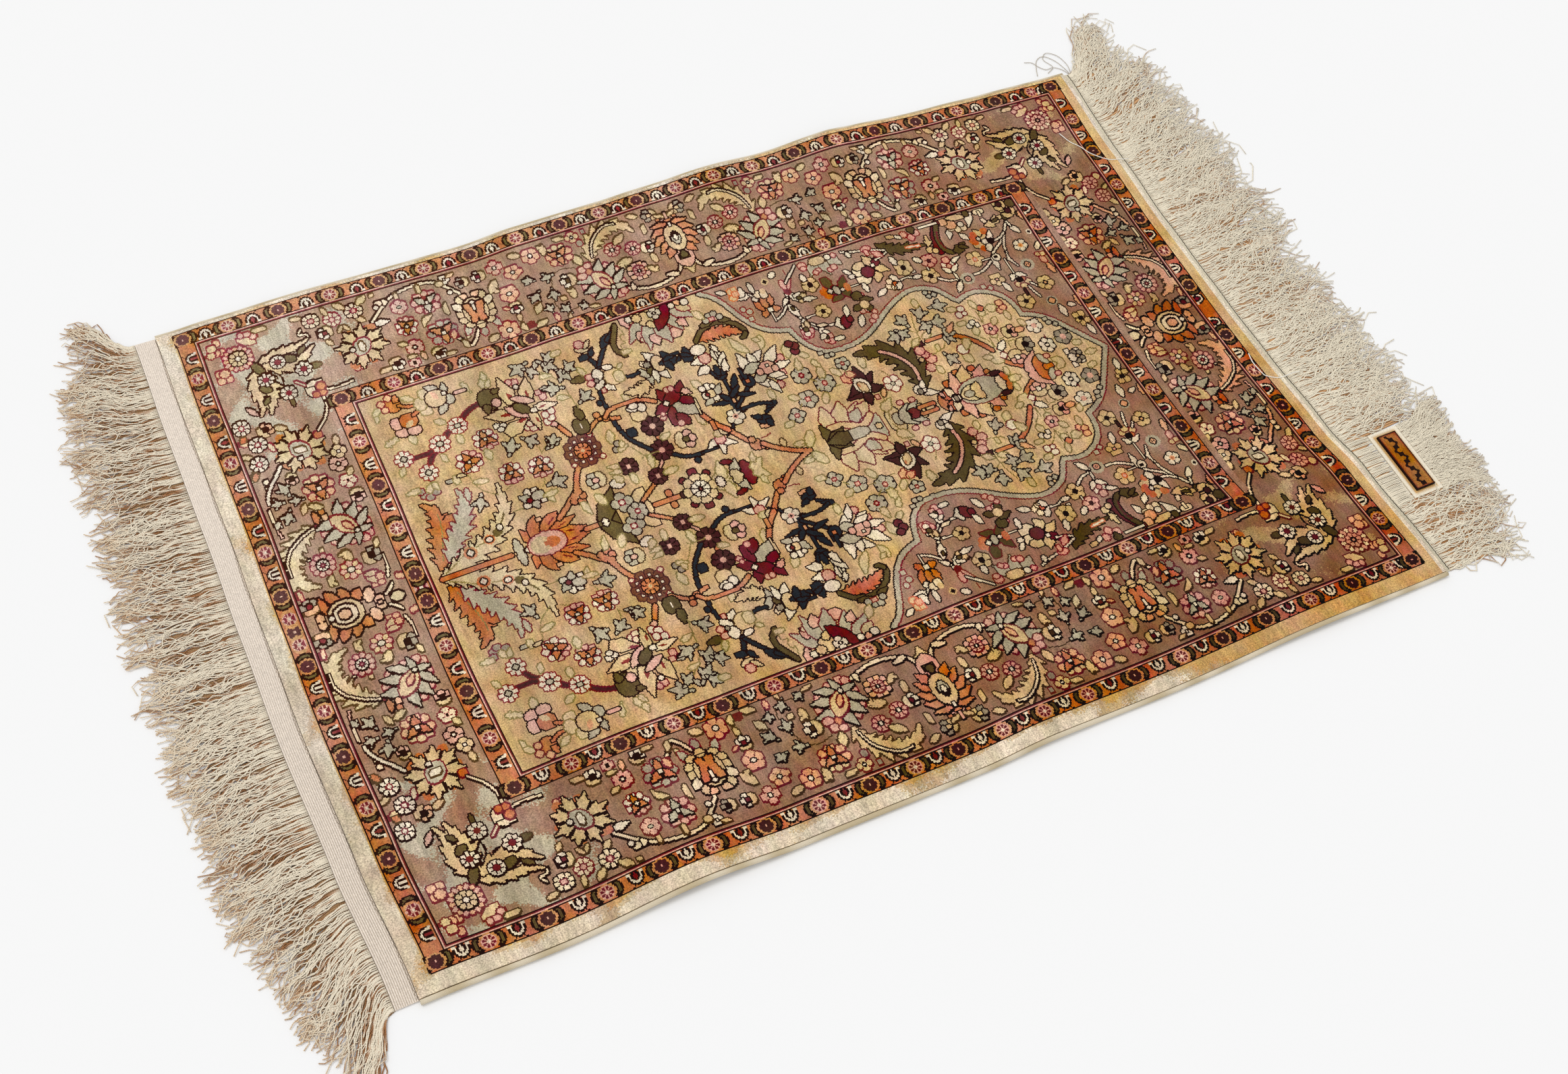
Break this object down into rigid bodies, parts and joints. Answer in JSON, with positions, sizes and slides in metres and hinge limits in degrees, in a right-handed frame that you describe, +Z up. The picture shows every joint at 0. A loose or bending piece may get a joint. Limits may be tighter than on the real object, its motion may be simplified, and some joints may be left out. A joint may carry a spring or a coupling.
{
  "type": "knotted silk prayer rug with fringes",
  "caption": "Small knotted silk prayer rug lying flat, with a flowering niche field, floral borders, flat-woven ends and loose fringes.",
  "frame": {"origin": "middle of the whole outline, fringes included, on the surface that the rug lies on", "axes": "+X along the rug towards the point of its niche, +Y across the rug, +Z up out of the pile"},
  "size_m": [1.0832, 0.7094, 0.0066],
  "materials": {
    "silk_pile": "knotted silk pile with a soft lustre, golden field and mauve-brown border",
    "flat_weave": "fine ribbed plain weave, matt",
    "edge_binding": "overcast cord",
    "fringe_thread": "loose twisted warp threads",
    "panel_pile": "knotted pile, orange brown with a dark outline"
  },
  "bodies": {
    "root": {"rug_body": "silk_pile", "end_weave_left": "flat_weave", "end_weave_right": "flat_weave", "selvedge_near": "edge_binding", "selvedge_far": "edge_binding", "fringe_left": "fringe_thread", "fringe_right": "fringe_thread", "panel_weave": "flat_weave", "panel_pile": "panel_pile", "fringe_panel": "fringe_thread"}
  },
  "joints": []
}
